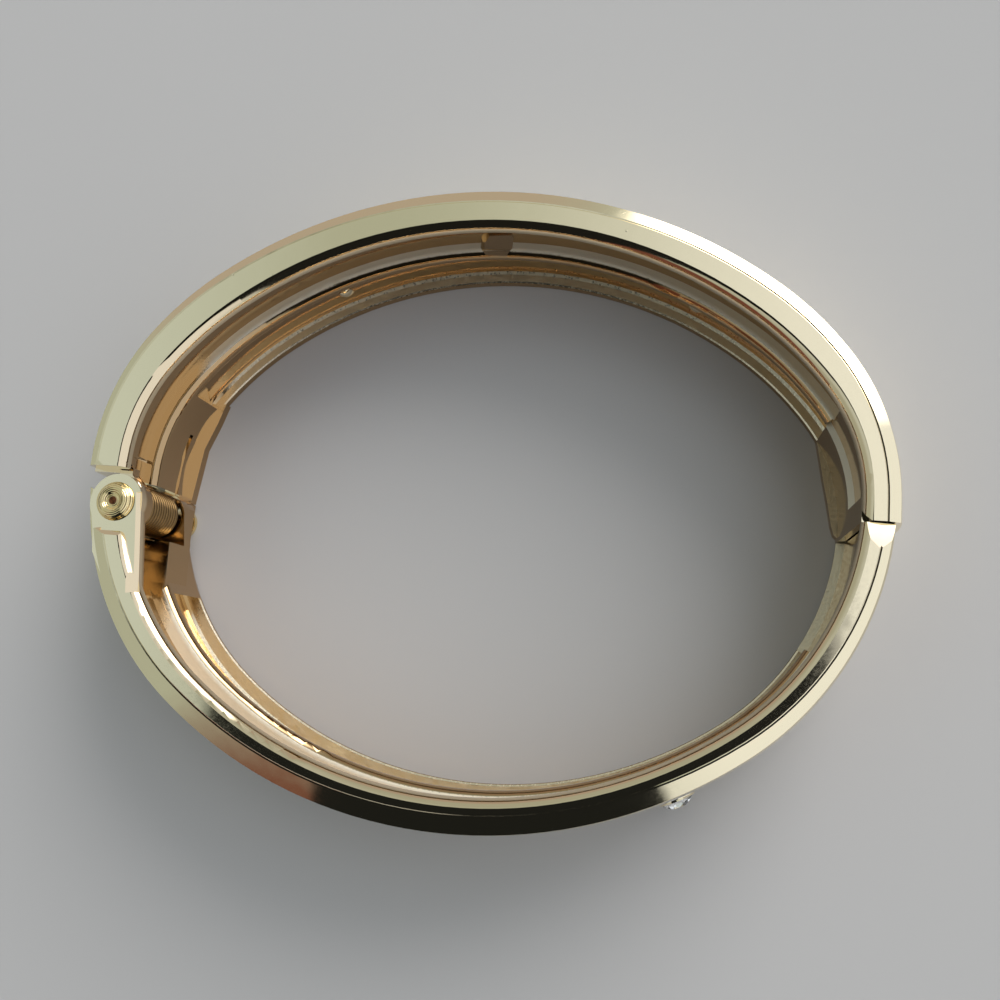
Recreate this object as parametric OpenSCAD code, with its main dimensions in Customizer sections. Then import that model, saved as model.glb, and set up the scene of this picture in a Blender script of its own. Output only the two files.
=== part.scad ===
// Clamp bracelet lying on its side: two cast half shells, a riveted spring hinge at the left end
// (-X) and a plain butt closure at the right end (+X). Z is the axis of the bracelet.

/* [Band] */
// height of the band, from edge to edge
band_h = 12; // [8:0.5:20]
// length of the wrist opening, from hinge end to closure
inner_l = 60; // [52:1:70]
// depth of the far half, from the hinge line to its inner wall
far_d = 21.3; // [18:0.1:26]
// depth of the near half, from the hinge line to its inner wall
near_d = 24.7; // [20:0.1:28]
// radius of the rounded outer shoulder of each edge
shoulder_r = 0.9; // [0.6:0.1:1.4]
// slope of the outer facet along each edge in degrees
facet_tilt = 22; // [10:1:35]
// radius of the rounded inner shoulder of each edge
flank_r = 0.9; // [0.6:0.1:1.2]
// radius of the inner lower edge of the far half
foot_r = 0.25; // [0.1:0.05:0.8]
// radius of the domed outer face across the band
dome_r = 28; // [15:1:60]

/* [Hollow back] */
// height of the smooth lip along the upper edge
lip_h = 1; // [0.9:0.1:1.5]
// height of the floor of the lower groove
foot_h = 0.84; // [0.6:0.02:1.2]
// radius of the rib between the two grooves
rib_r = 0.72; // [0.5:0.02:0.9]
// depth of the grooves of the far half
far_groove_s = 1.3; // [1.2:0.1:2]
// depth of the grooves of the near half
near_groove_s = 1.6; // [1.2:0.1:2]

/* [Hinge] */
// distance of the hinge pin from the left end of the wrist opening
pin_x = -30.5; // [-31.5:0.1:-30]
// distance of the hinge pin in front of the widest line
pin_y = -4; // [-5:0.1:-3]
// radius of the hinge pin
pin_r = 0.8; // [0.5:0.05:1]
// radius of the rounded ears round the pin
ear_r = 2.4; // [2:0.05:2.45]
// diameter of the spring wire
wire_d = 0.41; // [0.3:0.01:0.6]
// outer radius of the spring
spring_r = 2.1; // [1.6:0.05:2.15]

/* [Stones] */
// diameter of each stone
stone_d = 2.8; // [2:0.1:3.2]
// height of the stone centres above the lower edge
stone_z = 3.3; // [3:0.1:6]
// height of each stone's table above the domed face
stone_h = 1.15; // [0.8:0.05:1.4]

/* [Hidden] */
$fn = 96;
// from the middle of the widest line to the middle of the whole bracelet
origin = [0.4, 1.25, 0];
H = band_h;
xi = inner_l / 2;
// directions of the normal where the arcs of an oval meet
s1 = 36.8699;
s2 = 53.1301;
// half ovals: left end, right end, depth, and how far the radius grows before the last arc
far_in = oval(-xi, xi, far_d, 13.75);
near_in = oval(-xi, xi, near_d, 0);
far_out = oval(-xi - 3.6, xi + 2.8, far_d + 3.6, 7.25);
near_out = oval(-xi - 3.39, xi + 2.45, near_d + 2.76, 0);
far_right = xi + 2.8;
far_left = -xi - 3.6;
// creases where the flat part of each edge meets its outer facet
far_crease = oval(-xi - 2.6, xi + 1.65, far_d + 2.35, 7.25);
near_crease = oval(-xi - 1.9, xi + 1.5, near_d + 1.25, 0);
joint_y = -1.7;
far_end_y = -2.1;
// top of the rib, just below its round so that a flat floor meets it
rib_top = H / 2 + rib_r - 0.008;
near_end_y = pin_y - 2.55;
dome_c = -shoulder_r - sqrt(pow(dome_r - shoulder_r, 2) - pow(H / 2 - shoulder_r, 2));
dome_z = (H / 2 - shoulder_r) * dome_r / (dome_r - shoulder_r);
stone_up = dome_c + sqrt(pow(dome_r, 2) - pow(H / 2 - stone_z, 2));
spring_z = 4.3;
spring_n = 12;
spring_pitch = wire_d - 0.01;
spring_top = spring_z + wire_d + (spring_n - 1) * spring_pitch;
far_stones = [62.5, 115];
near_stones = [62.5, 111];

// a half oval as tangent arcs [centre, radius, from, to], split where the normal has slopes 3:4 and 4:3
function oval(left, right, depth, u) = let (a = (right - left) / 2, m = (right + left) / 2,
    w = (a - depth) / 0.4, v = w - u, r = a - 0.6 * w - 0.2 * u, c = a - r)
    u > 0 ? [[[m + c, 0], r, 0, s1], [[m + c - 0.8 * u, -0.6 * u], r + u, s1, s2],
        [[m, -0.6 * u - 0.8 * v], r + w, s2, 180 - s2],
        [[m - c + 0.8 * u, -0.6 * u], r + u, 180 - s2, 180 - s1], [[m - c, 0], r, 180 - s1, 180]]
    : [[[m + c, 0], r, 0, s2], [[m, -0.8 * v], r + w, s2, 180 - s2], [[m - c, 0], r, 180 - s2, 180]];
function arc_at(o, t) = [for (k = o) if (t >= k[2] && t < k[3]) k][0];
function on_oval(o, t) = arc_at(o, t)[0] + arc_at(o, t)[1] * [cos(t), sin(t)];
// distance from the inner wall to the domed face at the stones' height, along the normal at angle t
function face_d(i, o, t) = let (v = on_oval(i, t) - arc_at(o, t)[0], b = v * [cos(t), sin(t)])
    -b + sqrt(b * b - v * v + pow(arc_at(o, t)[1] + stone_up, 2));

// the wedge between two directions from a point
module wedge(c, a, b) translate([0, 0, -5]) linear_extrude(H + 10) polygon([c,
    c + 100 * [cos(a), sin(a)], c + 150 * [cos((a + b) / 2), sin((a + b) / 2)], c + 100 * [cos(b), sin(b)]]);

// a profile carried along a half oval between two directions of its normal
module along(o, from, to) for (k = o) {
    a = max(from, k[2]);
    b = min(to, k[3]);
    if (b > a) intersection() {
        translate([k[0][0], k[0][1], 0]) rotate([0, 0, -90]) rotate_extrude() translate([k[1], 0]) children();
        wedge(k[0], a, b);
    }
}

// the same profile carried straight on, past one end of a half oval
module past(x, len, side) translate([x, 0, 0]) mirror([side < 0 ? 1 : 0, 0, 0])
    rotate([90, 0, 0]) linear_extrude(len) children();

module outer_profile() {
    translate([-6, 0]) square([6 - shoulder_r, H]);
    translate([-shoulder_r, shoulder_r]) circle(shoulder_r);
    translate([-shoulder_r, H - shoulder_r]) circle(shoulder_r);
    intersection() {
        translate([dome_c, H / 2]) circle(dome_r, $fn = 360);
        translate([-6, H / 2 - dome_z]) square([8, 2 * dome_z]);
    }
}

// what the outer facet takes off one edge, with the fine hollow along its crease
module facet_profile() polygon([[-0.12, H + 0.05], [0, H - 0.055], [0.12, H - 0.12 * tan(facet_tilt)],
    [4, H - 4 * tan(facet_tilt)], [4, H + 2], [-0.12, H + 2]]);

// the wrist opening, with the radius of the band's inner lower edge
module inner_profile(low) {
    translate([-7, -1]) square([7, H + 2]);
    for (e = [[0, low], [1, flank_r]]) translate([0, e[0] * H]) mirror([0, e[0]]) difference() {
        translate([-0.5, -1]) square([0.5 + e[1], 1 + e[1]]);
        translate([e[1], e[1] - 0.03]) circle(e[1]);
    }
}

// a recess in the inner wall with drafted sides, between heights a and b, down to depth s
module recess(a, b, s) polygon([[-0.3, a - 0.04], [s, a + 0.2], [s, b - 0.2], [-0.3, b + 0.04]]);

// upper groove, from under the lip down to the top of the rib
module upper_groove(s) intersection() {
    polygon([[-0.3, H - lip_h + 0.12], [0, H - lip_h], [0.3, H - lip_h - 0.2], [s, H - lip_h - 0.35],
        [s, rib_top - 0.05], [rib_r - 0.02, rib_top], [rib_r - 0.02, H / 2], [-0.3, H / 2]]);
    round_of_rib();
}

// lower groove, from under the rib down to the foot
module lower_groove(s) intersection() {
    polygon([[-0.3, H / 2], [rib_r - 0.02, H / 2], [rib_r - 0.02, H - rib_top], [s, H - rib_top - 0.05],
        [s, foot_h + 0.42], [s - 0.12, foot_h + 0.12], [s - 0.4, foot_h], [0.2, foot_h],
        [0.06, foot_h - 0.07], [0, foot_h - 0.2], [-0.3, foot_h - 0.3]]);
    round_of_rib();
}

// everything but the round face of the rib
module round_of_rib() difference() {
    translate([-1, 0]) square([4, H]);
    translate([rib_r - 0.02, H / 2]) circle(rib_r);
}

// a round fitting on the band: local Z runs outwards along the normal at angle t
module at_stone(i, t) translate([each on_oval(i, t), stone_z]) rotate([0, 0, t]) rotate([0, 90, 0]) children();

// bore for a setting: seat in the domed face and hole for its post
module setting_bore(i, o, t) at_stone(i, t) {
    translate([0, 0, face_d(i, o, t) - 0.37]) cylinder(2, r = stone_d / 2 + 0.27);
    cylinder(5, r = 0.47);
}

module band(out, in, crease, low) difference() {
    difference() {
        difference() {
            along(out, 0, 180) outer_profile();
            along(in, 0, 180) inner_profile(low);
        }
        along(crease, 0, 180) facet_profile();
    }
    translate([0, 0, H]) mirror([0, 0, 1]) along(crease, 0, 180) facet_profile();
}

// a straight run of the band's full section past one end, with its outer face at x
module run_on(x, wall, crease, len, side) difference() {
    past(x, len, side) outer_profile();
    translate([0, 0.5, 0]) past(wall, len + 1, side) inner_profile(foot_r);
    for (e = [0, 1]) translate([0, 0.5, e * H]) mirror([0, 0, e])
        past(crease, len + 1, side) facet_profile();
}

module far_body() difference() {
    difference() {
        difference() {
            difference() {
                union() {
                    band(far_out, far_in, far_crease, foot_r);
                    run_on(far_right, xi, xi + 1.65, -joint_y, 1);
                    run_on(far_left, -xi, -xi - 2.6, -far_end_y, -1);
                }
                along(far_in, 30, 180) upper_groove(far_groove_s);
            }
            // the upper groove is open at the hinge end
            translate([0, 0.5, 0]) past(-xi, 4, -1) upper_groove(far_groove_s);
        }
        along(far_in, 30, 149) lower_groove(far_groove_s);
    }
    // shallow back beside the closure, with a ledge along its lower side
    along(far_in, 1, 30.5) recess(5.6, H - lip_h - 0.05, 0.5);
}

module far_half() color("#cdbf8d") translate(origin) difference() {
    union() {
        far_body();
        // foot widened inwards beside the closure and beside the hinge
        linear_extrude(foot_h + 0.1) polygon([[28.1, 7.2], [28.4, 5.6], [28.72, 3.8], [29.15, 1.7],
            [29.5, -0.3], [29.75, -1.1], [30.3, -1.6], [31, -1.6], [31, 2], [29.6, 6]]);
        linear_extrude(foot_h + 0.1) polygon([[-27.4, 8], [-28, 6], [-28.95, 3.4], [-29.5, -2], [-31, -2],
            [-31, 4], [-29, 8]]);
        // lower and upper ear round the pin
        for (e = [[0.5, 2.35], [9.37, 1.03]]) translate([0, 0, e[0]]) linear_extrude(e[1]) {
            translate([pin_x, pin_y]) circle(ear_r - 0.2);
            polygon([[-32.6, -4], [-28.4, -4], [-29.3, -2.2], [-30.1, -1.4], [-30.1, -0.8], [-32.4, -0.8]]);
        }
    }
    translate([pin_x, pin_y, -1]) cylinder(H + 2, r = pin_r + 0.01);
    // the outer wall stops short of the inner one
    translate([-36, -5, -1]) cube([36 - 31.3, 5 - 1.3, H + 2]);
    // right side of the lower ear cut back in two steps
    translate([-29.2, -7, -1]) cube([4, 6.4, 2.6]);
    translate([-28.6, -7, -1]) cube([3, 6.4, 3.87]);
    // room for the spring and for the near half's lower ear
    translate([pin_x, pin_y, 2.86]) cylinder(9.36 - 2.86, r = ear_r + 0.1);
    // the raised edge stops at the hinge
    translate([-36, -5, 10.4]) cube([12, 4, 3]);
    translate([pin_x, pin_y, spring_top - wire_d / 2]) rotate([0, 0, 45])
        translate([spring_r - wire_d / 2, 2, 0]) rotate([-90, 0, 0]) cylinder(1.6, r = wire_d / 2 + 0.02);
    // shallow groove along the wall beside the hinge
    translate([-30.3, -3, 2.75]) rotate([0, 0, -3.5]) cube([0.5, 9, 0.5]);
    for (t = far_stones) setting_bore(far_in, far_out, t);
    // slot through the rib at the middle
    translate([-0.75, far_d, 5]) linear_extrude(1.75)
        polygon([[-1.45, 1.33], [-1.45, 0.7], [-0.95, 0.1], [0.95, 0.1], [1.45, 0.7], [1.45, 1.33]]);
    // sloped end of the upper edge beside the hinge
    translate([-33, -1.3, H]) rotate([12, -9, 0]) translate([-4, -2, -0.22]) cube([7, 4, 2]);
    // rounded inner corner of the upper edge at the closure
    translate([0, 0, H - lip_h]) linear_extrude(3)
        polygon([[29, -0.7], [30.02, -0.9], [30.2, -1.35], [30.6, -1.75], [30.6, -3], [29, -3]]);
}

// the near half is drawn on the far side and mirrored into place
module near_half() color("#cdbf8d") translate(origin) mirror([0, 1, 0]) difference() {
    union() {
        near_body();
        // ear plate on top, running on as a flat strip beside the raised edge
        translate([0, 0, H - 1.5]) linear_extrude(1.05) {
            translate([pin_x, -pin_y]) circle(ear_r);
            polygon([[pin_x, 1.9], [-29.6, 1.9], [-28.45, 3.05], [-27.2, 11.4], [-30, 11.4],
                [-31.9, 8.4], [-32.2, 6.6], [-32.9, -pin_y]]);
        }
        translate([-29.6, 3.05, H - 1.5]) cylinder(0.75, r = 1.15);
        translate([-29.6, 3.05, H - 0.75]) cylinder(0.3, r1 = 1.15, r2 = 0.85);
        // lower ear beneath the spring
        translate([0, 0, 3]) linear_extrude(1.15) {
            translate([pin_x, -pin_y]) circle(ear_r - 0.05);
            polygon([[-32.8, -pin_y], [-28.15, 3.9], [-27.75, 6.4], [-27.75, 7], [-32.2, 7]]);
        }
        // block beside it, as high as the rib
        translate([0, 0, 3]) linear_extrude(rib_top - 3.02)
            polygon([[-27.75, 6.57], [-27.5, 10.6], [-28.3, 11.4], [-32, 8.5], [-32.6, 6.57]]);
    }
    translate([pin_x, -pin_y, -1]) cylinder(H + 2, r = pin_r + 0.04);
    // bevel along the right side of the ear plate
    translate([-28.45, 3.05, H - 0.75]) rotate([0, 0, -8.515]) rotate([0, 45, 0])
        translate([-3, 0, 0]) cube([3, 8.6, 0.6]);
}

module near_body() difference() {
    difference() {
        difference() {
            difference() {
                difference() {
                    band(near_out, near_in, near_crease, flank_r);
                    along(near_in, 30, 168) upper_groove(near_groove_s);
                }
                along(near_in, 30, 150) lower_groove(near_groove_s);
            }
            // shallow back beside the closure
            along(near_in, 2, 30.5) recess(foot_h + 0.15, H - lip_h - 0.05, 0.7);
        }
        // recess beside the hinge, level with the rib, behind a thin outer wall
        translate([0, 0, rib_top - 0.02]) linear_extrude(H - 1.5 - rib_top + 0.02)
            polygon([[-31.7, 6], [-26.7, 6], [-26.7, 11.5], [-29.7, 11.5], [-30.45, 10], [-31.25, 8]]);
    }
    // butt face at the closure and end beside the hinge
    translate([20, -joint_y + 0.1 - 40, 0]) cube([60, 80, 80], center = true);
    translate([0, 0, -1]) linear_extrude(H + 2) {
        polygon([[-20, -near_end_y], [-31.5, -near_end_y], [pin_x, -pin_y], [-40, 0], [-40, -5], [-20, -5]]);
        // chamfer that clears the far half when the bracelet is open
        polygon([[-32, 1.8], [-36, 5.8], [-40, 5.8], [-40, 0], [-32, 0]]);
    }
    // room for the far half's ears and the spring, behind a thin outer wall
    translate([pin_x, -pin_y, -1]) cylinder(H + 2, r = ear_r - 0.08);
    // rounded front of the raised edge, behind the ear plate
    translate([0, 0, H - 0.45]) linear_extrude(1) polygon([[-37, -2], [-37, 7.8], [-33.1, 7.2],
        [-32.7, 6.75], [-32.2, 6.45], [-31.6, 6.32], [-30, 6.32], [-29.55, 6.48], [-29.25, 6.85],
        [-28.6, 7.8], [-26, 7.8], [-26, -2]]);
    // and the bevel along that front
    translate([-31, 6.95, H]) rotate([35, 0, 0]) translate([-4, -0.78, 0]) cube([6.2, 0.88, 2]);
    for (t = near_stones) setting_bore(near_in, near_out, t);
    // corner of the upper edge bevelled at the closure
    translate([30.5, 3.08, H]) rotate([0, 0, -45]) rotate([0, 15, 0]) translate([-1, -6, 0]) cube([8, 12, 4]);
}

// rivet through both pairs of ears, with a ring-shaped upper head and a flat lower head
module hinge_pin() color("#d8c88f") translate(origin + [pin_x, pin_y, 0]) {
    translate([0, 0, 0.3]) cylinder(H - 0.3, r = pin_r);
    translate([0, 0, 0.04]) cylinder(0.42, r = 1.5);
    rotate_extrude() difference() {
        intersection() {
            translate([0, H - 0.42]) square([3, 2]);
            union() {
                translate([1.04, H - 0.5]) circle(0.66);
                translate([0, H - 0.5]) square([1.04, 0.42]);
            }
        }
        translate([0, H + 0.1]) circle(0.36);
    }
}

// close-wound spring round the pin with one straight end let into the far half
module hinge_spring() color("#a88a52") translate(origin + [pin_x, pin_y, 0]) rotate([0, 0, 45]) {
    for (k = [0:spring_n - 1]) translate([0, 0, spring_z + wire_d / 2 + k * spring_pitch])
        rotate_extrude() translate([spring_r - wire_d / 2, 0]) circle(wire_d / 2, $fn = 32);
    translate([spring_r - wire_d / 2, 0, spring_top - wire_d / 2])
        rotate([-90, 0, 0]) cylinder(3.5, r = wire_d / 2, $fn = 32);
}

// cup let into the face of one half, with a post whose end is spread in the lowest groove
module setting(i, o, s, t, side) color("#d8c88f") translate(origin) mirror([0, side < 0 ? 1 : 0, 0])
    at_stone(i, t) {
    d = face_d(i, o, t);
    r = stone_d / 2;
    rotate_extrude() polygon([[0, d - 0.35], [r + 0.25, d - 0.35], [r + 0.25, d + 0.45], [r + 0.13, d + 0.6],
        [r + 0.03, d + 0.6], [r + 0.03, d + 0.45], [0.3, d - 0.2], [0, d - 0.2]]);
    translate([0, 0, s - 0.3]) cylinder(d - s + 0.1, r = 0.45);
    translate([0, 0, s - 0.3]) cylinder(0.28, r = 0.66);
    intersection() {
        translate([0, 0, s + 0.35]) sphere(0.92);
        translate([-1, -1, s - 0.7]) cube([2, 2, 0.41]);
    }
}

// round faceted stone: eight-sided crown facets over a girdle, and a shallow pavilion
module stone(i, o, t, side) color("#e4eef2") translate(origin) mirror([0, side < 0 ? 1 : 0, 0])
    at_stone(i, t) {
    d = face_d(i, o, t);
    r = stone_d / 2;
    translate([0, 0, d + 0.5]) cylinder(0.1, r = r);
    intersection() {
        translate([0, 0, d + 0.59]) cylinder(stone_h - 0.59, r1 = r, r2 = r * 0.62, $fn = 8);
        translate([0, 0, d + 0.59]) rotate([0, 0, 22.5])
            cylinder(stone_h - 0.59, r1 = r * 1.06, r2 = r * 0.52, $fn = 8);
    }
    translate([0, 0, d - 0.12]) cylinder(0.63, r1 = 0.02, r2 = r * 0.98, $fn = 8);
}

far_half();
near_half();
hinge_pin();
hinge_spring();
setting(far_in, far_out, far_groove_s, far_stones[0], 1);  // setting_far_right
setting(far_in, far_out, far_groove_s, far_stones[1], 1);  // setting_far_left
setting(near_in, near_out, near_groove_s, near_stones[0], -1);  // setting_near_right
setting(near_in, near_out, near_groove_s, near_stones[1], -1);  // setting_near_left
stone(far_in, far_out, far_stones[0], 1);  // stone_far_right
stone(far_in, far_out, far_stones[1], 1);  // stone_far_left
stone(near_in, near_out, near_stones[0], -1);  // stone_near_right
stone(near_in, near_out, near_stones[1], -1);  // stone_near_left
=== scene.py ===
import math

import bmesh
import bpy
from mathutils import Matrix, Vector


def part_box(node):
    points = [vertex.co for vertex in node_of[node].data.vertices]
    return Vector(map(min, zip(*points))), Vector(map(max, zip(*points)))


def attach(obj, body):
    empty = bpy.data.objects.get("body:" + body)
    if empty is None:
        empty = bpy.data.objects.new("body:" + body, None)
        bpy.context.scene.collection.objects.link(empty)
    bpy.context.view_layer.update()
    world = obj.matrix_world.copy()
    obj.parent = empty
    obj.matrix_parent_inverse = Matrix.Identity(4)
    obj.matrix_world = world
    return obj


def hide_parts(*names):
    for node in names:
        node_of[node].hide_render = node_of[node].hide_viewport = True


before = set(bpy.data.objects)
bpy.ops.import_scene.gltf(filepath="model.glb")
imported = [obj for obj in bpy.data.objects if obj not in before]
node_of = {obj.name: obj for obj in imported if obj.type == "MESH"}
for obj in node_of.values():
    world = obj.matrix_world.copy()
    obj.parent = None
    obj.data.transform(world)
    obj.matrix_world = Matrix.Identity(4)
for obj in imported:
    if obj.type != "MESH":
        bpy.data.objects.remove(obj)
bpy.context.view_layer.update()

# Half shells
# Two hollow-backed castings in zinc alloy, tumbled and polished on the outside, left as cast in the
# hollow back, then plated pale gold all over. They meet face to face at the closure and are held
# together at the hinge by one rivet.

# heights in metres: underside of the plain edge, top of the rib, floor of the lower groove
EDGE_LOW = 10.6e-3
RIB_HIGH = 7e-3
FLOOR_HIGH = 1.5e-3
# where the block beside the hinge ends, along the bracelet
BLOCK_END = -26e-3
# sizes of the surface marks: ripple of the casting, rub marks, pits, patches of pits, flow lines and
# their slow wander, grain
RIPPLE = 3.85e-3
RUBS = 0.192e-3
PITS = 1.11e-3
PATCHES = 2.38e-3
FLOW = 0.3125e-3
WANDER = 11.1e-3
GRAIN = 0.238e-3


def linear(hex_colour):
    """sRGB hex to linear RGBA."""
    parts = [int(hex_colour[i:i + 2], 16) / 255 for i in (0, 2, 4)]
    return [c / 12.92 if c <= 0.04045 else ((c + 0.055) / 1.055) ** 2.4 for c in parts] + [1.0]


def put(tree, kind, inputs=None, **settings):
    """Adds one node with its settings, and its inputs as values or as links."""
    node = tree.nodes.new(kind)
    for name, value in settings.items():
        setattr(node, name, value)
    for key, value in (inputs or {}).items():
        if isinstance(value, bpy.types.NodeSocket):
            tree.links.new(value, node.inputs[key])
        else:
            node.inputs[key].default_value = value
    return node


def new_material(name):
    """An empty material with its output and a Principled shader."""
    material = bpy.data.materials.new(name)
    material.use_nodes = True
    material.node_tree.nodes.clear()
    tree = material.node_tree
    shader = put(tree, "ShaderNodeBsdfPrincipled")
    put(tree, "ShaderNodeOutputMaterial", {"Surface": shader.outputs[0]})
    return material, tree, shader


def ramp(tree, value, start, end, low=0, high=1, **settings):
    """A value between start and end turned into one between low and high."""
    limits = {0: value, 1: start, 2: end, 3: low, 4: high}
    return put(tree, "ShaderNodeMapRange", limits, **settings).outputs[0]


def product(tree, first, second):
    """Two masks multiplied."""
    return put(tree, "ShaderNodeMath", {0: first, 1: second}, operation="MULTIPLY").outputs[0]


def over(tree, mask, under, upper):
    """One colour laid over another by a mask."""
    return put(tree, "ShaderNodeMix", {0: mask, 6: under, 7: upper}, data_type="RGBA").outputs[2]


def noise(tree, place, size, detail, fine=0.6):
    """Noise with marks of one real size."""
    return put(tree, "ShaderNodeTexNoise", {"Vector": place, "Scale": 1 / size, "Detail": detail,
                                            "Roughness": fine}).outputs["Fac"]


def rub_marks(tree, shader, place):
    """Buffed plating: faint ripple of the casting, rub marks down to 0.05 mm wide, patches of fine pits."""
    ripple = noise(tree, place, RIPPLE, 2, 0.5)
    rubs = noise(tree, place, RUBS, 3)
    pits = put(tree, "ShaderNodeTexVoronoi", {"Vector": place, "Scale": 1 / PITS, "Randomness": 1})
    pits = ramp(tree, pits.outputs["Distance"], 0, 0.11, 1, 0)
    pits = product(tree, pits, ramp(tree, noise(tree, place, PATCHES, 3), 0.55, 0.7))
    rough = ramp(tree, rubs, 0.35, 0.75, 0.05, 0.1)
    rough = put(tree, "ShaderNodeMath", {0: pits, 1: 0.35, 2: rough}, operation="MULTIPLY_ADD").outputs[0]
    relief = put(tree, "ShaderNodeBump", {"Strength": 0.08, "Distance": 0.2e-3, "Height": ripple})
    relief = put(tree, "ShaderNodeBump", {"Strength": 0.35, "Distance": 0.04e-3, "Height": pits,
                                          "Normal": relief.outputs[0]}).outputs[0]
    shader.inputs["Metallic"].default_value = 1
    tree.links.new(rough, shader.inputs["Roughness"])
    tree.links.new(relief, shader.inputs["Normal"])
    return rough, relief


# plating where it was buffed; in the hollow back and on its walls, with painted shade and warm reflection;
# frosty; and grainy
BUFFED = linear("f7e9c7")
# painted shade and warm reflection: the hollow back coloured darker and warmer than the buffed plating
HOLLOW_PAINTED_SHADE = linear("ead6b4")
# painted shade and dark reflection: the walls below the plain edge coloured brown
WALL_PAINTED_SHADE = linear("b99b74")
FROSTY = linear("f6eedb")
GRAINY = linear("f3e6c8")

# Pale gold plating, tumbled and buffed to a mirror. Used on the small fittings.
polished_plating, tree, shader = new_material("pale_gold_plating_polished")
place = put(tree, "ShaderNodeTexCoord").outputs["Object"]
rub_marks(tree, shader, place)
shader.inputs["Base Color"].default_value = BUFFED

# The same plating on the castings. The hollow back is coloured darker and warmer than the buffed
# plating, as painted shade and painted warm reflection. Its walls are smooth with faint flow lines
# along the band, and below the plain edge they are painted brown, as painted shade and dark reflection.
# The buff did not reach the ledges of the hollow back: they keep the grainy skin of the casting,
# frosty on top of the rib, coarser and brighter on the floor of the lower groove.
shell_plating, tree, shader = new_material("pale_gold_plating_on_casting")
coords = put(tree, "ShaderNodeTexCoord")
place, normal = coords.outputs["Object"], coords.outputs["Normal"]
rough, relief = rub_marks(tree, shader, place)
at = put(tree, "ShaderNodeSeparateXYZ", {0: place})
along, height = at.outputs[0], at.outputs[2]
upward = put(tree, "ShaderNodeSeparateXYZ", {0: normal}).outputs[2]

# where each finish lies: walls face the middle of the bracelet, ledges face up
spoke = put(tree, "ShaderNodeVectorMath", {0: place, 1: (1, 1, 0)}, operation="MULTIPLY")
spoke = put(tree, "ShaderNodeVectorMath", {0: spoke.outputs[0]}, operation="NORMALIZE")
facing = put(tree, "ShaderNodeVectorMath", {0: spoke.outputs[0], 1: normal}, operation="DOT_PRODUCT")
wall = ramp(tree, facing.outputs["Value"], -0.2, -0.4)
ledge = ramp(tree, upward, 0.35, 0.6)
below_edge = ramp(tree, height, EDGE_LOW + 0.3e-3, EDGE_LOW)
hollow = put(tree, "ShaderNodeMath", {0: wall, 1: ledge}, operation="MAXIMUM").outputs[0]
hollow = product(tree, hollow, below_edge)
cast = product(tree, ramp(tree, upward, 0.86, 0.94), ramp(tree, along, BLOCK_END - 1.4e-3, BLOCK_END))
frosty = product(tree, cast, ramp(tree, height, RIB_HIGH + 0.4e-3, RIB_HIGH))
grainy = product(tree, cast, ramp(tree, height, FLOOR_HIGH + 0.5e-3, FLOOR_HIGH))

# flow lines, stretched along the band
across = put(tree, "ShaderNodeVectorMath", {0: place, 1: (1, 1.2, 0)}, operation="MULTIPLY")
across = put(tree, "ShaderNodeVectorMath", {0: across.outputs[0]}, operation="LENGTH")
flow = put(tree, "ShaderNodeCombineXYZ", {0: across.outputs["Value"], 1: height})
flow = put(tree, "ShaderNodeVectorMath", {0: flow.outputs[0], 1: (1 / FLOW, 1 / FLOW, 0)},
           operation="MULTIPLY")
slow = put(tree, "ShaderNodeVectorMath", {0: place, 1: (1 / WANDER, 1 / WANDER, 0)}, operation="MULTIPLY")
flow = put(tree, "ShaderNodeVectorMath", {0: flow.outputs[0], 1: slow.outputs[0]}, operation="ADD")
flow = put(tree, "ShaderNodeTexNoise", {"Vector": flow.outputs[0], "Scale": 1, "Detail": 2,
                                        "Roughness": 0.5}).outputs["Fac"]
grain = noise(tree, place, GRAIN, 3)

relief = put(tree, "ShaderNodeBump", {"Strength": product(tree, hollow, 0.1), "Distance": 0.03e-3,
                                      "Height": flow, "Normal": relief})
relief = put(tree, "ShaderNodeBump", {"Strength": product(tree, grainy, 0.3), "Distance": 0.08e-3,
                                      "Height": grain, "Normal": relief.outputs[0]})
rough = put(tree, "ShaderNodeMix", {0: hollow, 2: rough, 3: ramp(tree, flow, 0.3, 0.7, 0.07, 0.12)})
rough = put(tree, "ShaderNodeMix", {0: frosty, 2: rough.outputs[0],
                                    3: ramp(tree, grain, 0.35, 0.65, 0.28, 0.6)})
inner = put(tree, "ShaderNodeMath", {0: hollow, 1: wall}, operation="MAXIMUM").outputs[0]
# painted shade and warm reflection over the hollow back and its walls
shade = over(tree, inner, BUFFED, HOLLOW_PAINTED_SHADE)
# painted shade: the walls below the plain edge coloured brown
shade = over(tree, product(tree, wall, below_edge), shade, WALL_PAINTED_SHADE)
shade = over(tree, frosty, shade, FROSTY)
shade = over(tree, grainy, shade, GRAINY)
matt = put(tree, "ShaderNodeMath", {0: grainy, 1: -0.8, 2: frosty}, operation="MULTIPLY_ADD").outputs[0]
tree.links.new(ramp(tree, matt, 0, 1, 1, 0.4), shader.inputs["Metallic"])
tree.links.new(shade, shader.inputs["Base Color"])
tree.links.new(rough.outputs[0], shader.inputs["Roughness"])
tree.links.new(relief.outputs[0], shader.inputs["Normal"])

for name in ("far_half", "near_half"):
    shell = node_of[name]
    shell.data.materials.clear()
    shell.data.materials.append(shell_plating)

# Rivet
# One brass rivet through both pairs of ears, its upper end spun over into a ring round a dimple,
# then plated with the rest.
hinge_at = Vector((-30.1e-3, -2.75e-3, 0))
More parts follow.
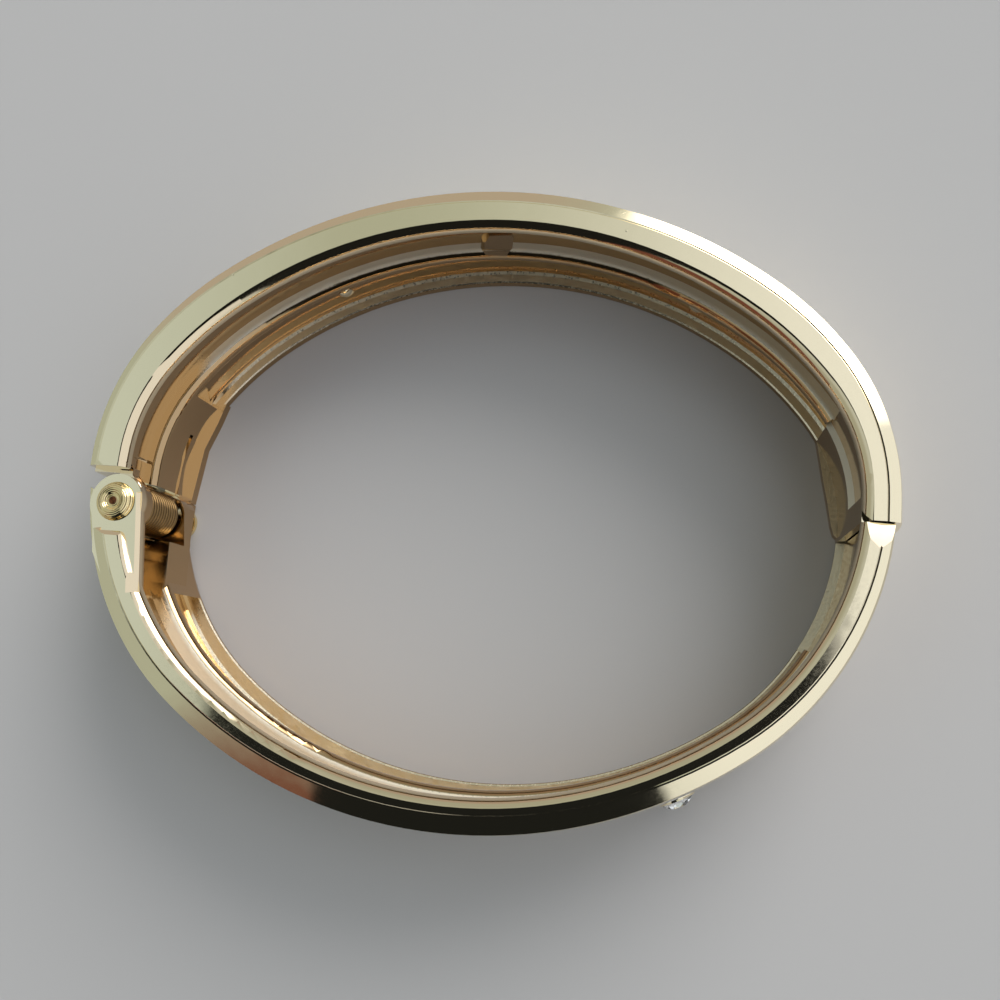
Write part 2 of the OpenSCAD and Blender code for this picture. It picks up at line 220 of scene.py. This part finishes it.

# Spun head: rings left by the spinning tool about 0.15 mm apart, and dark brown in the dimple.
RING_STEP = 0.15e-3
DIMPLE = 0.3e-3
spun_plating, tree, shader = new_material("plated_brass_spun_head")
place = put(tree, "ShaderNodeTexCoord").outputs["Object"]
relief = rub_marks(tree, shader, place)[1]
off = put(tree, "ShaderNodeVectorMath", {0: place, 1: hinge_at}, operation="SUBTRACT")
off = put(tree, "ShaderNodeVectorMath", {0: off.outputs[0], 1: (1, 1, 0)}, operation="MULTIPLY")
off = put(tree, "ShaderNodeVectorMath", {0: off.outputs[0]}, operation="LENGTH").outputs["Value"]
rings = put(tree, "ShaderNodeMath", {0: off, 1: 2 * math.pi / RING_STEP, 2: noise(tree, place, PITS, 1, 0.5)},
            operation="MULTIPLY_ADD")
rings = put(tree, "ShaderNodeMath", {0: rings.outputs[0]}, operation="SINE")
relief = put(tree, "ShaderNodeBump", {"Strength": 0.5, "Distance": 0.03e-3, "Height": rings.outputs[0],
                                      "Normal": relief})
shade = over(tree, ramp(tree, off, DIMPLE + 0.12e-3, DIMPLE), linear("f3dca6"), linear("7a4a30"))
tree.links.new(shade, shader.inputs["Base Color"])
tree.links.new(relief.outputs[0], shader.inputs["Normal"])
rivet = node_of["hinge_pin"]
rivet.data.materials.clear()
rivet.data.materials.append(spun_plating)

# Spring
# Close-wound torsion spring of 0.4 mm plated steel wire round the rivet, between the ears. Its upper
# end runs straight into the far half. The wire is coloured a mottled brown all along.
WIRE = 0.39e-3
COIL = 1.895e-3
PITCH = 0.4e-3
TURNS = 11
FIRST_TURN = 4.505e-3
LEG = 3.4e-3
start = Matrix.Rotation(math.radians(45), 4, "Z")
bm = bmesh.new()
bmesh.ops.create_circle(bm, cap_ends=True, segments=12, radius=WIRE / 2,
                        matrix=Matrix.Translation(hinge_at) @ start
                        @ Matrix.Translation((COIL, 0, FIRST_TURN)) @ Matrix.Rotation(math.pi / 2, 4, "X"))
steps = 40 * TURNS
made = bmesh.ops.spin(bm, geom=bm.verts[:] + bm.edges[:] + bm.faces[:], cent=hinge_at, axis=(0, 0, 1),
                      dvec=(0, 0, PITCH * TURNS / steps), angle=2 * math.pi * TURNS, steps=steps)
end = [g for g in made["geom_last"] if isinstance(g, bmesh.types.BMFace)]
leg = bmesh.ops.extrude_face_region(bm, geom=end)
bmesh.ops.translate(bm, vec=start @ Vector((0, LEG, 0)),
                    verts=[g for g in leg["geom"] if isinstance(g, bmesh.types.BMVert)])
bmesh.ops.remove_doubles(bm, verts=bm.verts[:], dist=1e-7)
bmesh.ops.recalc_face_normals(bm, faces=bm.faces[:])
for face in bm.faces:
    face.smooth = len(face.verts) == 4
mesh = bpy.data.meshes.new("spring_coil")
bm.to_mesh(mesh)
bm.free()
spring = bpy.data.objects.new("spring_coil", mesh)
bpy.context.scene.collection.objects.link(spring)

# Drawn steel wire with a thin brown-gold plating, duller than the castings.
wire_plating, tree, shader = new_material("drawn_wire_thin_plating")
place = put(tree, "ShaderNodeTexCoord").outputs["Object"]
shade = over(tree, noise(tree, place, 0.667e-3, 3), linear("5a4630"), linear("96794e"))
shader.inputs["Metallic"].default_value = 1
shader.inputs["Roughness"].default_value = 0.28
tree.links.new(shade, shader.inputs["Base Color"])
mesh.materials.append(wire_plating)
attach(spring, "far_body")
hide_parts("hinge_spring")

# Settings
# Four small brass cups let into the outer faces, each with a post that shows as a spread end in the
# lowest groove of the hollow back. Plated with the castings.
for name in ("setting_far_right", "setting_far_left", "setting_near_right", "setting_near_left"):
    cup = node_of[name]
    cup.data.materials.clear()
    cup.data.materials.append(polished_plating)

# Stones
# Round brilliant-cut stones of clear lead glass, 2.8 mm across, glued into the cups. Each is the hull
# of six rings of corners: table, crown, upper and lower girdle, pavilion, point.
TABLE = 1.27
# Clear cut glass: sharp flat facets, bright edges, almost no colour.
cut_glass, tree, shader = new_material("clear_cut_glass")
shader.inputs["Base Color"].default_value = linear("fdfdfb")
shader.inputs["Roughness"].default_value = 0.01
shader.inputs["IOR"].default_value = 1.6
shader.inputs["Transmission Weight"].default_value = 1
# height and radius in mm, number of corners, and turn in degrees
cut = ((TABLE, 0.74, 8, 0), (1.02, 1.12, 8, 22.5), (0.72, 1.38, 16, 11.25), (0.63, 1.38, 16, 11.25),
       (0.3, 0.8, 8, 22.5), (0, 0.06, 8, 0))
for name, side, turn in (("far_right", "far", 62.5), ("far_left", "far", 115),
                         ("near_right", "near", -62.5), ("near_left", "near", -111)):
    cad = "stone_" + name
    low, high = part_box(cad)
    corners = [v.co.copy() for v in node_of[cad].data.vertices]
    outward = Vector((math.cos(math.radians(turn)), math.sin(math.radians(turn)), 0))
    centre = sum(corners, Vector()) / len(corners)
    base = max(v.dot(outward) for v in corners) - TABLE * 1e-3
    middle = centre - outward * centre.dot(outward)
    middle.z = (low.z + high.z) / 2
    bm = bmesh.new()
    for height, radius, count, offset in cut:
        bmesh.ops.create_circle(bm, segments=count, radius=radius * 1e-3,
                                matrix=Matrix.Translation((0, 0, height * 1e-3))
                                @ Matrix.Rotation(math.radians(offset), 4, "Z"))
    bmesh.ops.convex_hull(bm, input=bm.verts[:])
    bmesh.ops.dissolve_limit(bm, angle_limit=math.radians(0.5), verts=bm.verts[:], edges=bm.edges[:])
    bmesh.ops.recalc_face_normals(bm, faces=bm.faces[:])
    seated = Matrix.Translation(middle + outward * base)
    seated = seated @ outward.to_track_quat("Z", "Y").to_matrix().to_4x4()
    bmesh.ops.transform(bm, matrix=seated, verts=bm.verts[:])
    mesh = bpy.data.meshes.new("brilliant_" + name)
    bm.to_mesh(mesh)
    bm.free()
    stone = bpy.data.objects.new("brilliant_" + name, mesh)
    bpy.context.scene.collection.objects.link(stone)
    mesh.materials.append(cut_glass)
    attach(stone, side + "_body")
    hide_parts(cad)

# Floor
# A plain pale surface for the bracelet to lie on, 3 m across.
FLOOR = 3
bm = bmesh.new()
bmesh.ops.create_grid(bm, x_segments=1, y_segments=1, size=FLOOR / 2)
mesh = bpy.data.meshes.new("floor")
bm.to_mesh(mesh)
bm.free()
floor = bpy.data.objects.new("floor", mesh)
bpy.context.scene.collection.objects.link(floor)
pale_matt, tree, shader = new_material("pale_matt_paper")
shader.inputs["Base Color"].default_value = linear("c5c3c2")
shader.inputs["Roughness"].default_value = 0.9
shader.inputs["Specular IOR Level"].default_value = 0.1
mesh.materials.append(pale_matt)

# Light
# Soft light all round, brightest from the far right, with a dark area overhead and in front.
world = bpy.data.worlds.new("soft_light")
bpy.context.scene.world = world
world.use_nodes = True
tree = world.node_tree
tree.nodes.clear()
place = put(tree, "ShaderNodeTexCoord").outputs["Generated"]
axes = put(tree, "ShaderNodeSeparateXYZ", {0: place})


def toward(direction, start, end, **settings):
    """A mask that grows towards one direction of the sky, between two cosines of the angle from it."""
    facing = put(tree, "ShaderNodeVectorMath", {0: place, 1: Vector(direction)}, operation="DOT_PRODUCT")
    return ramp(tree, facing.outputs["Value"], start, end, **settings)


# dark area: a card seen from below, u across and v away, wider towards the front
above = put(tree, "ShaderNodeMath", {0: axes.outputs[2], 1: 0.05}, operation="MAXIMUM")
u = put(tree, "ShaderNodeMath", {0: axes.outputs[0], 1: above.outputs[0]}, operation="DIVIDE")
v = put(tree, "ShaderNodeMath", {0: axes.outputs[1], 1: above.outputs[0]}, operation="DIVIDE")
front = put(tree, "ShaderNodeMath", {0: v.outputs[0], 1: -0.45, 2: -0.18}, operation="MULTIPLY_ADD")
front = put(tree, "ShaderNodeMath", {0: front.outputs[0], 1: 0}, operation="MAXIMUM")
half = put(tree, "ShaderNodeMath", {0: front.outputs[0], 1: 0.34}, operation="ADD")
side = put(tree, "ShaderNodeMath", {0: u.outputs[0], 1: 0.165}, operation="ADD")
side = put(tree, "ShaderNodeMath", {0: side.outputs[0], 1: half.outputs[0]}, operation="DIVIDE")
back = put(tree, "ShaderNodeMath", {0: v.outputs[0], 1: 0.39}, operation="DIVIDE")
back = put(tree, "ShaderNodeMath", {0: back.outputs[0], 1: 0}, operation="MAXIMUM")
card = put(tree, "ShaderNodeCombineXYZ", {0: side.outputs[0], 1: back.outputs[0]})
card = put(tree, "ShaderNodeVectorMath", {0: card.outputs[0], 1: card.outputs[0]}, operation="MULTIPLY")
card = put(tree, "ShaderNodeVectorMath", {0: card.outputs[0]}, operation="LENGTH")
dark = ramp(tree, card.outputs["Value"], 0.9, 1.1, 1, 0, interpolation_type="SMOOTHSTEP")

# masks of the bright area, the wide glow right of it, the tan low at the back and the brown at the front
bright = toward((0.471, 0.784, 0.404), 0.895, 0.965, interpolation_type="SMOOTHSTEP")
glow = toward((0.858, 0.101, 0.505), 0.2, 0.7, interpolation_type="SMOOTHSTEP")
tan = product(tree, toward((-0.45, 0.893, 0), 0.8, 0.9), ramp(tree, axes.outputs[2], 0.4, 0.32))
brown = toward((-0.5, -0.866, 0), 0.8, 0.86)
high_left = product(tree, ramp(tree, axes.outputs[2], 0.55, 0.85), ramp(tree, axes.outputs[0], -0.35, -0.58))

sky = over(tree, high_left, (0.43, 0.475, 0.43, 1), (0.62, 0.71, 0.74, 1))
sky = over(tree, glow, sky, (0.9, 0.95, 1.02, 1))
sky = over(tree, brown, sky, (0.17, 0.07, 0.05, 1))
sky = over(tree, tan, sky, (0.45, 0.4, 0.36, 1))
sky = over(tree, bright, sky, (6.5, 6.4, 6.3, 1))
sky = over(tree, dark, sky, (0.012, 0.013, 0.013, 1))
background = put(tree, "ShaderNodeBackground", {"Color": sky, "Strength": 1})
put(tree, "ShaderNodeOutputWorld", {"Surface": background.outputs[0]})

# Camera
# At the photograph's angle to the bracelet, 82 mm above the floor.
CAMERA_AT = (16.447e-3, -13.946e-3, 82.325e-3)
camera = bpy.data.objects.new("camera", bpy.data.cameras.new("camera"))
bpy.context.scene.collection.objects.link(camera)
camera.data.sensor_width = 36
camera.data.lens = 33.3
camera.data.clip_start = 0.001
ahead = Vector((-0.18225, 0.18247, -0.96617))
up = Vector((-0.06089, 0.97865, 0.19632))
across = ahead.cross(up).normalized()
turned = Matrix((across, across.cross(ahead), -ahead)).transposed()
camera.matrix_world = Matrix.Translation(CAMERA_AT) @ turned.to_4x4()
bpy.context.scene.camera = camera
bpy.context.scene.view_settings.view_transform = "Standard"
